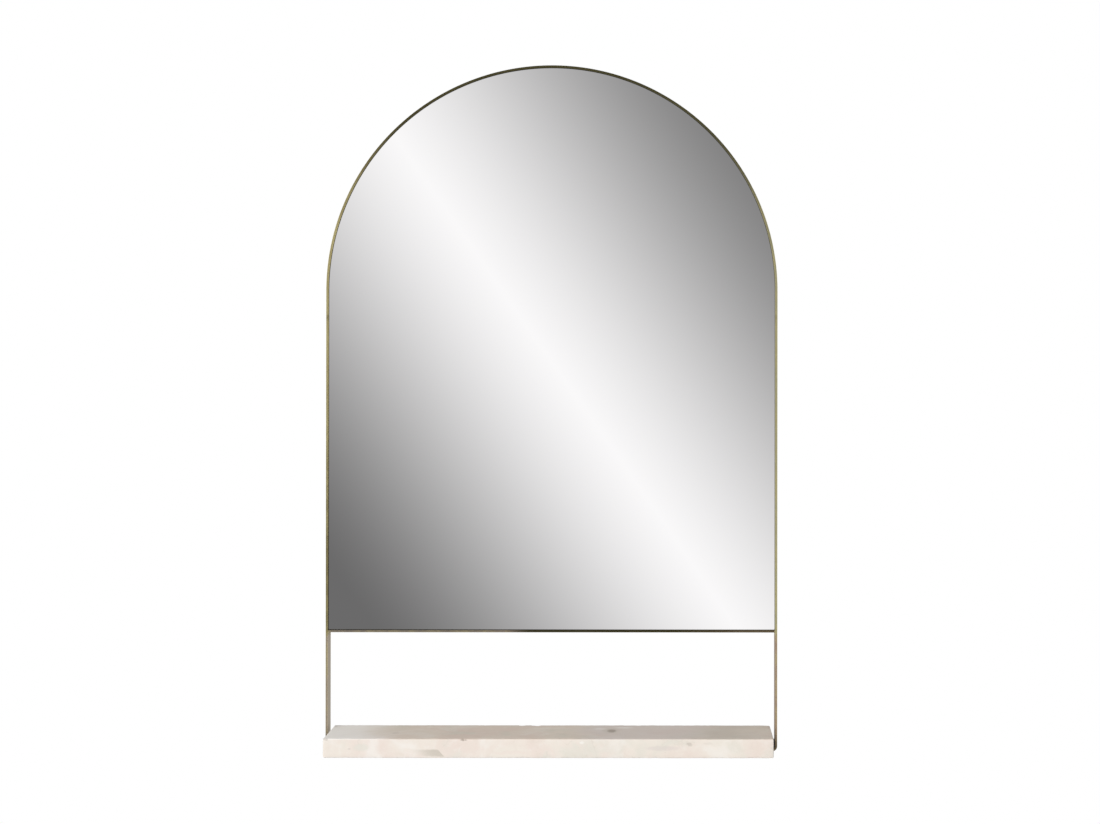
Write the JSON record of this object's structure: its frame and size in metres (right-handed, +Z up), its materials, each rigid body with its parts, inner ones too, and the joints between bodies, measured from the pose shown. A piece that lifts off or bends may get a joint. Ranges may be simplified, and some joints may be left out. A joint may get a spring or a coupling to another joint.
{
  "type": "wall mirror with shelf",
  "caption": "Arched wall mirror in a slim flat-bar metal frame whose legs run on down and turn in under a thick stone shelf, with swinging hanger rings on its back.",
  "frame": {"origin": "on the wall plane, on the centre line, on the shelf's back face 8 mm above the shelf's underside", "axes": "+Z up, +Y into the wall, -Y to the front, +X to the right seen from the front"},
  "size_m": [0.61, 0.1016, 0.927],
  "materials": {
    "frame_brass": "aged satin brass, finely brushed along the bar",
    "shelf_stone": "honed pale beige marble with soft clouds, small pits and sawn edges",
    "mirror_glass": "silvered float glass, polished, with a painted back",
    "pad_rubber": "matt black rubber",
    "insert_brass": "knurled brass, raw",
    "zinc_steel": "bright zinc plated",
    "foam_tape": "white foam mounting tape",
    "fibreboard": "smooth medium-density fibreboard, unpainted"
  },
  "bodies": {
    "mirror_unit": {"arch_bar": "frame_brass", "backing_board": "fibreboard", "left_hanger_strap": "zinc_steel", "left_inner_shelf_insert": "insert_brass", "left_inner_shelf_screw": "zinc_steel", "left_outer_shelf_insert": "insert_brass", "left_outer_shelf_screw": "zinc_steel", "left_shelf_pad": "pad_rubber", "left_side_bar": "frame_brass", "left_strap_screw_lower": "zinc_steel", "left_strap_screw_upper": "zinc_steel", "mirror_crossbar": "frame_brass", "mirror_glass": "mirror_glass", "right_hanger_strap": "zinc_steel", "right_inner_shelf_insert": "insert_brass", "right_inner_shelf_screw": "zinc_steel", "right_outer_shelf_insert": "insert_brass", "right_outer_shelf_screw": "zinc_steel", "right_shelf_pad": "pad_rubber", "right_side_bar": "frame_brass", "right_strap_screw_lower": "zinc_steel", "right_strap_screw_upper": "zinc_steel", "stone_shelf": "shelf_stone", "tab_arch_left": "frame_brass", "tab_arch_left_screw": "zinc_steel", "tab_arch_right": "frame_brass", "tab_arch_right_screw": "zinc_steel", "tab_arch_top": "frame_brass", "tab_arch_top_screw": "zinc_steel", "tab_bottom_left": "frame_brass", "tab_bottom_left_screw": "zinc_steel", "tab_bottom_right": "frame_brass", "tab_bottom_right_screw": "zinc_steel", "tab_left_high": "frame_brass", "tab_left_high_screw": "zinc_steel", "tab_left_low": "frame_brass", "tab_left_low_screw": "zinc_steel", "tab_right_high": "frame_brass", "tab_right_high_screw": "zinc_steel", "tab_right_low": "frame_brass", "tab_right_low_screw": "zinc_steel", "tape_strip_1": "foam_tape", "tape_strip_2": "foam_tape", "tape_strip_3": "foam_tape", "tape_strip_4": "foam_tape"},
    "left_ring": {"left_d_ring": "zinc_steel"},
    "right_ring": {"right_d_ring": "zinc_steel"}
  },
  "joints": [
    {"name": "left_ring_swing", "type": "hinge", "parent": "mirror_unit", "child": "left_ring", "pos_m": [-0.203, -0.0077, 0.6465], "axis": [1, 0, 0], "range_deg": [0, 180]},
    {"name": "right_ring_swing", "type": "hinge", "parent": "mirror_unit", "child": "right_ring", "pos_m": [0.203, -0.0077, 0.6465], "axis": [1, 0, 0], "range_deg": [0, 180]}
  ]
}
